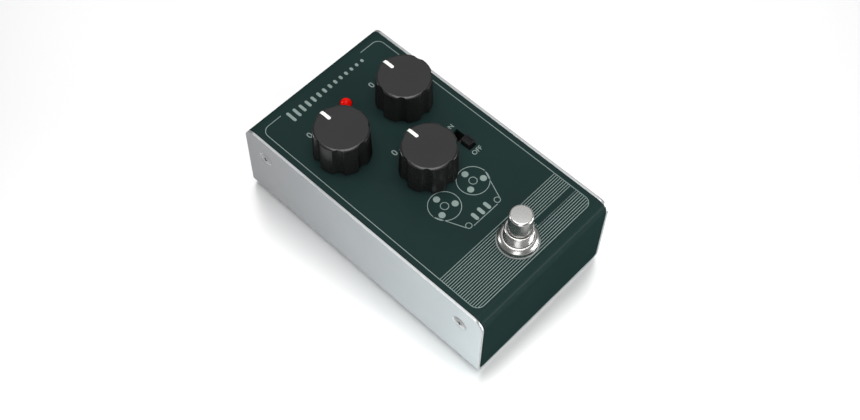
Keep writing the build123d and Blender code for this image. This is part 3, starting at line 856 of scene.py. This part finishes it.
def pointer_tool(x, y, top, size, gap):
    """Bar with a round inner end for the slot in a knob's top, shrunk by a gap."""
    half = size.pointer_width / 2 - gap
    inner = y + size.knob_shoulder - size.pointer_length + gap
    outer = y + size.knob_base + size.pointer_width
    low = (x - half, inner, top - pointer_depth + gap)
    high = (x + half, outer, top + pointer_depth)

    def at_inner_end(side):
        return upright(side) and side.verts[0].co.y < inner + half

    return plate("tool", low, high, half * round_share, 8, at_inner_end)


class ECHO_OT_lamp(bpy.types.Operator):
    """Turn the red lamp with its dome and flange"""

    bl_idname = "echo.lamp"
    bl_label = "Lamp"

    def execute(self, context):
        size = context.scene.echo_controls
        x, y = middle("led_lens").xy
        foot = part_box("led_lens")[0].z
        dome = panel_z - lamp_sink - foot
        step = lamp_flange_height
        profile = [(0, 0), (lamp_flange, 0), (lamp_flange, step), (size.lamp_radius, step)]
        profile += arc(0, dome, size.lamp_radius, 0, 90, 24)
        lamp = lathe("red_lamp", profile, (x, y, foot), 72)
        smooth(lamp, 40)
        dress(lamp, "chassis", "red_lens", "led_lens")
        return {"FINISHED"}


class ECHO_OT_slider(bpy.types.Operator):
    """Shape the grooved slider on its carriage"""

    bl_idname = "echo.slider"
    bl_label = "Slide switch"

    def execute(self, context):
        size = context.scene.echo_controls
        low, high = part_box("slide_switch_slider")
        x, y = middle("slide_switch_slider").xy
        wide, long = size.slider_width / 2, size.slider_length / 2
        cap = block("tool", (x - wide, y - long, low.z), (x + wide, y + long, high.z))
        half, deep = groove_width / 2, groove_depth
        for step in (-2, -1, 0, 1, 2):
            groove = y + step * groove_pitch
            start = (x - 2 * wide, groove - half, high.z - deep)
            end = (x + 2 * wide, groove + half, high.z + deep)
            cut(cap, block("tool", start, end))
        ridge = groove_pitch - groove_width
        soften(cap, 0.45 * ridge, 4, 40)
        carriage = block("tool", low, (high.x, high.y, panel_z - carriage_drop))
        soften(carriage, slider_edge / 2)
        slider = join("grooved_slider", cap, carriage)
        smooth(slider)
        dress(slider, "mode_slider", "black_plastic", "slide_switch_slider")
        return {"FINISHED"}


class ECHO_OT_foot_switch(bpy.types.Operator):
    """Turn the foot switch's plunger, bush, dress nut and washer"""

    bl_idname = "echo.foot_switch"
    bl_label = "Foot switch"

    def execute(self, context):
        size = context.scene.echo_foot_switch
        place = middle("footswitch_plunger")
        place.z = panel_z
        self.plunger(size, place)
        self.bush(size, place)
        self.nut(size, place)
        self.washer(size, place)
        return {"FINISHED"}

    def plunger(self, size, place):
        """Plunger with its rounded top and the collar that holds it in the case."""
        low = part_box("footswitch_plunger")[0].z - panel_z
        edge, radius, rise = plunger_edge, size.plunger_radius, size.plunger_rise
        step = low + collar_height
        profile = [(0, low), (collar_radius, low), (collar_radius, step), (radius, step)]
        profile += arc(radius - edge, rise - edge, edge, 0, 90, 8)
        profile += [(0, rise)]
        plunger = lathe("chrome_plunger", profile, place)
        smooth(plunger, 50)
        dress(plunger, "foot_plunger", "chrome", "footswitch_plunger")

    def bush(self, size, place):
        """Threaded bush on its bent yoke."""
        low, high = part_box("footswitch_frame")
        over = high.z - panel_z
        yoke_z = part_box("footswitch_inner_nut")[0].z
        foot = yoke_z - panel_z
        lip, outer, bore, sheet = bush_lip, size.bush_radius, bush_bore, yoke_sheet
        pitch, root = thread_pitch, size.bush_radius - thread_depth
        profile = [(bore, foot), (root, foot)]
        turns = int((over - lip - thread_foot) / pitch)
        for turn in range(turns):
            start = over - lip - (turns - turn) * pitch
            profile += [(root, start), *[(outer, start + share * pitch) for share in thread_crest]]
        profile += [(root, over - lip), *arc(outer - lip, over - lip, lip, 0, 90, 8)]
        profile += [(bore + lip / 4, over), (bore, over - lip / 4), (bore, foot)]
        bush = lathe("tool", profile, place)
        smooth(bush, 50)

        def opened(face):
            return abs(face.normal.y) > 0.5 or face.normal.z < -0.5

        yoke = fold("tool", low, (high.x, high.y, yoke_z), opened, sheet, 4)
        thicken(yoke, sheet)
        x, y = place.xy
        cut(yoke, rod("tool", (x, y, yoke_z - 2 * sheet), (x, y, yoke_z + sheet), bore, sides=96))
        smooth(yoke)
        dress(join("chrome_bush", bush, yoke), "chassis", "chrome", "footswitch_frame")

    def nut(self, size, place):
        """Round dress nut with its domed shoulder."""
        foot = size.washer_sheet
        rim, high = foot + size.nut_rim, foot + size.nut_height
        wide, neck, bore, edge = size.nut_radius, size.nut_neck, nut_bore, size.nut_edge
        run, drop = wide - neck, high - rim
        lean, fall = sin(size.nut_slope), cos(size.nut_slope)
        dome = (run**2 + drop**2) / (2 * (drop * fall - run * lean))
        centre = Vector((neck - dome * lean, high - dome * fall))
        corner = Vector((wide, rim)) - centre
        start = degrees(atan2(corner.y, corner.x)) + 2
        profile = [(bore, foot), (wide - edge, foot), (wide, foot + edge), (wide, rim - edge)]
        profile += arc(*centre, dome, start, 90 - degrees(size.nut_slope), 10)
        profile += [(bore + edge, high), (bore, high - edge), (bore, foot)]
        nut = lathe("chrome_dress_nut", profile, place)
        smooth(nut, 40)
        dress(nut, "chassis", "chrome", "footswitch_dress_nut")

    def washer(self, size, place):
        """Flat washer under the dress nut."""
        hole, wide, top = washer_hole, size.washer_radius, size.washer_sheet
        edge = top / 4
        profile = [(hole, 0), (wide - edge, 0), (wide, edge), (wide, top - edge)]
        profile += [(wide - edge, top), (hole, top), (hole, 0)]
        washer = lathe("clear_washer", profile, place)
        smooth(washer, 30)
        dress(washer, "chassis", "clear_nylon", "footswitch_washer")


class ECHO_OT_sockets(bpy.types.Operator):
    """Shape one jack nut and washer on the rear wall and copy them to the other jack"""

    bl_idname = "echo.sockets"
    bl_label = "Rear sockets"

    def execute(self, context):
        size = context.scene.echo_sockets
        first = middle("output_jack_nut")
        x, z = first.xz
        near = rear_y + size.washer_sheet
        far = near + size.nut_height
        corner = size.nut_flats / sqrt(3)
        edge = size.nut_edge
        nut = rod("output_jack_hex_nut", (x, near, z), (x, far, z), corner, sides=6)
        wide = corner + 2 * edge + size.nut_height
        cone = rod("tool", (x, near - edge, z), (x, far, z), wide, corner - edge, 96)
        cut(nut, cone, how="INTERSECT")
        hole = size.bush_radius + nut_slack
        cut(nut, rod("tool", (x, near - edge, z), (x, far + edge, z), hole, sides=96))
        soften(nut, edge / 5, 2, 25)
        smooth(nut, 25)

        hole, wide, top = size.bush_radius + washer_slack, size.washer_radius, size.washer_sheet
        edge = top / 4
        profile = [(hole, 0), (wide, 0), (wide, top - edge), (wide - edge, top), (hole, top), (hole, 0)]
        washer = lathe("output_jack_flat_washer", profile, (0, 0, 0), 96)
        smooth(washer, 30)
        turn_to(washer, (x, rear_y, z), (0, 1, 0))
        shift = middle("input_jack_nut") - first
        others = [repeat(piece, "output", "input", shift) for piece in (nut, washer)]
        for name, pair in (("output", (nut, washer)), ("input", others)):
            dress(pair[0], "chassis", "black_plastic", f"{name}_jack_nut")
            dress(pair[1], "chassis", "steel", f"{name}_jack_washer")
        return {"FINISHED"}


def ring(x, y, inner, outer, ink):
    """Flat printed ring on the panel."""
    profile = [(inner, -ink), (outer, -ink), (outer, ink), (inner, ink), (inner, -ink)]
    return lathe("tool", profile, (x, y, panel_z), 96)


def printed_bar(start, end, width, ink):
    """Flat printed bar with round ends between two points of the panel."""
    start, end = Vector((*start, panel_z)), Vector((*end, panel_z))
    run = end - start
    half = width / 2
    bar = plate("tool", (-half, -half, -ink), (half, run.length + half, ink), half * round_share, 5)
    activate(bar)
    bar.rotation_euler = (0, 0, run.xy.angle_signed(Vector((0, 1))) if run.length else 0)
    bar.location = start
    return named("tool")


def printed_words(name, words, x, y, size, ink):
    """Words lying flat on the panel, centred on a place and a little bolder than drawn."""
    deselect()
    bpy.ops.object.text_add()
    text = bpy.context.active_object
    text.data.body = words
    text.data.size = size
    text.data.align_x = "CENTER"
    text.data.align_y = "CENTER"
    text.data.extrude = ink
    text.data.offset = size * 0.008
    bpy.ops.object.convert(target="MESH")
    text = bpy.context.active_object
    text.location = (x, y, panel_z)
    lay_print(named(name))


class ECHO_OT_print(bpy.types.Operator):
    """Print the border, stripes, reels, bars and numbers on the panel"""

    bl_idname = "echo.print"
    bl_label = "Panel print"

    def execute(self, context):
        size = context.scene.echo_print
        self.lines(size)
        self.reels(size)
        self.bars(size)
        for name in controls:
            x, y = middle(f"{name}_shaft").xy
            y += size.number_back
            printed_words(f"{name}_numbers", "0 - 10", x, y, size.number_size, size.ink)
        x = middle("slide_switch_slider").x
        for words, y in (("ON", size.on_y), ("OFF", size.off_y)):
            printed_words(f"switch_{words.lower()}", words, x, y, size.word_size, size.ink)
        return {"FINISHED"}

    def lines(self, size):
        """Border line with its opening, and the band of stripes with its bare strip."""
        ink, half = size.ink, size.line / 2
        low = Vector((-size.half_width - half, size.front - half, panel_z - ink))
        high = Vector((size.half_width + half, size.rear + half, panel_z + ink))
        under, over = low.z - ink, high.z + ink
        border = plate("panel_border", low, high, size.corner + half, 12)
        shrink = Vector((size.line, size.line, -4 * ink))
        cut(border, plate("tool", low + shrink, high - shrink, size.corner - half, 12))
        start, end = (-size.gap, size.rear - size.line, under), (size.gap, size.rear + size.line, over)
        cut(border, block("tool", start, end))
        smooth(border)
        lay_print(border)

        first, half = size.front + size.stripe_pitch, size.stripe / 2
        start, end = (-size.half_width, first - half, low.z), (size.half_width, first + half, high.z)
        stripes = block("panel_stripes", start, end)
        modify(
            stripes,
            "ARRAY",
            count=size.stripe_count,
            use_relative_offset=False,
            use_constant_offset=True,
            constant_offset_displace=(0, size.stripe_pitch, 0),
        )
        grow = Vector((0, 0, ink))
        cut(stripes, plate("tool", low - grow, high + grow, size.corner, 12), how="INTERSECT")
        start, end = (size.blank_left, size.blank_front, under), (size.blank_right, size.blank_rear, over)
        cut(stripes, block("tool", start, end))
        smooth(stripes)
        lay_print(stripes)

    def reels(self, size):
        """Two tape reels with the tape that runs past three heads between two posts."""
        ink, line, wide = size.ink, size.line, size.reel_window
        spoke = (size.reel_hub + size.reel_radius) / 2
        y, drop = size.motif_y + size.reel_rise, size.motif_y - size.tape_drop
        parts = []
        for side in (-1, 1):
            x = side * size.reel_x
            parts += [ring(x, y, radius - line, radius, ink) for radius in (size.reel_radius, size.reel_hub)]
            for turn in (radians(90), radians(210), radians(330)):
                parts.append(ring(x + spoke * cos(turn), y + spoke * sin(turn), 0, wide, ink))
            parts.append(printed_bar((x + side * size.reel_radius, y), (x + side * wide, drop), line, ink))
            parts.append(ring(x, drop, wide - line, wide, ink))
        for x in (-size.head_pitch, 0.0, size.head_pitch):
            parts.append(printed_bar((x, drop), (x, drop + size.head_height), size.head_width, ink))
        reach = size.reel_x - wide
        parts.append(printed_bar((-reach, drop - wide), (reach, drop - wide), line, ink))
        motif = join("reel_drawing", *parts)
        smooth(motif)
        lay_print(motif)

    def bars(self, size):
        """Row of bars that grow shorter."""
        y, bars = size.bar_y, []
        for index in range(size.bar_count):
            x = (index - (size.bar_count - 1) / 2) * size.bar_pitch
            half = (size.bar_height - size.bar_width) / 2 * size.bar_fade**index
            bars.append(printed_bar((x, y - half), (x, y + half), size.bar_width, size.ink))
        row = join("fading_bars", *bars)
        smooth(row)
        lay_print(row)


class ECHO_OT_stage(bpy.types.Operator):
    """Lay the pale floor, hang the soft lights and set the camera"""

    bl_idname = "echo.stage"
    bl_label = "Floor, light and camera"

    def execute(self, context):
        size = context.scene.echo_stage
        hue = context.scene.echo_colours
        deselect()
        bpy.ops.mesh.primitive_plane_add(size=size.floor_size)
        floor = named("pale_floor")
        edit(floor)
        bpy.ops.mesh.subdivide(number_cuts=3)
        deselect()
        finish_of("pale_floor", hue.floor, 0.995, (0.3, 0.32), 6, 400, 0.0000001, Metallic=0.65)
        coat(floor, "pale_floor")

        world = bpy.data.worlds.new("studio")
        context.scene.world = world
        world.use_nodes = True
        back = world.node_tree.nodes["Background"]
        back.inputs["Color"].default_value = (1, 1, 1, 1)
        back.inputs["Strength"].default_value = size.sky
        for name, place, width, power in softboxes:
            self.softbox(name, place, width, power, Vector((0, 0, size.aim)))
        context.scene.view_settings.view_transform = "Standard"
        context.scene.view_settings.look = "None"
        self.camera(context, size)
        return {"FINISHED"}

    def softbox(self, name, place, width, power, target):
        """Square lamp that faces the pedal."""
        deselect()
        aim = (target - Vector(place)).to_track_quat("-Z", "Y").to_euler()
        bpy.ops.object.light_add(type="AREA", location=place, rotation=aim)
        lamp = bpy.context.active_object
        lamp.name = name
        lamp.data.size = width
        lamp.data.energy = power

    def camera(self, context, size):
        """Camera at the photograph's place."""
        turn, rise = size.azimuth, size.elevation
        back = Vector((sin(turn) * cos(rise), -cos(turn) * cos(rise), sin(rise)))
        right = Vector((0, 0, 1)).cross(back).normalized()
        down = right.cross(back)
        across = cos(size.roll) * right + sin(size.roll) * down
        below = cos(size.roll) * down - sin(size.roll) * right
        middle = Vector((0, size.middle_y, size.middle_z))
        place = middle - across * size.aside - below * size.below + back * size.distance
        deselect()
        bpy.ops.object.camera_add()
        camera = bpy.context.active_object
        camera.name = "photo_camera"
        camera.data.lens = size.lens
        camera.data.sensor_width = size.sensor
        camera.data.sensor_fit = "HORIZONTAL"
        camera.data.clip_start = 0.01
        pose = Matrix((across, -below, back)).transposed().to_4x4()
        pose.translation = place
        camera.matrix_world = pose
        context.scene.camera = camera


operators = (
    ECHO_OT_finishes,
    ECHO_OT_cover,
    ECHO_OT_base,
    ECHO_OT_screws,
    ECHO_OT_feet,
    ECHO_OT_knobs,
    ECHO_OT_lamp,
    ECHO_OT_slider,
    ECHO_OT_foot_switch,
    ECHO_OT_sockets,
    ECHO_OT_print,
    ECHO_OT_stage,
)
groups = {
    "echo_box": EchoBoxSizes,
    "echo_controls": EchoControlSizes,
    "echo_foot_switch": EchoFootSwitchSizes,
    "echo_sockets": EchoSocketSizes,
    "echo_print": EchoPrintSizes,
    "echo_colours": EchoColours,
    "echo_stage": EchoStageSizes,
}


class ECHO_PT_panel(bpy.types.Panel):
    """Lists the pieces of the pedal"""

    bl_idname = "ECHO_PT_panel"
    bl_label = "Echo Pedal"
    bl_space_type = "VIEW_3D"
    bl_region_type = "UI"
    bl_category = "Echo Pedal"

    def draw(self, context):
        for operator in operators:
            self.layout.operator(operator.bl_idname)
        for name, group in groups.items():
            column = self.layout.column(heading=group.__name__)
            for field in group.__annotations__:
                column.prop(getattr(context.scene, name), field)


def register():
    for name, group in groups.items():
        bpy.utils.register_class(group)
        setattr(bpy.types.Scene, name, PointerProperty(type=group))
    for operator in operators:
        bpy.utils.register_class(operator)
    bpy.utils.register_class(ECHO_PT_panel)


def unregister():
    bpy.utils.unregister_class(ECHO_PT_panel)
    for operator in reversed(operators):
        bpy.utils.unregister_class(operator)
    for name, group in groups.items():
        delattr(bpy.types.Scene, name)
        bpy.utils.unregister_class(group)


def main():
    register()
    for operator in operators:
        area, name = operator.bl_idname.split(".")
        getattr(getattr(bpy.ops, area), name)()


if __name__ == "__main__":
    main()
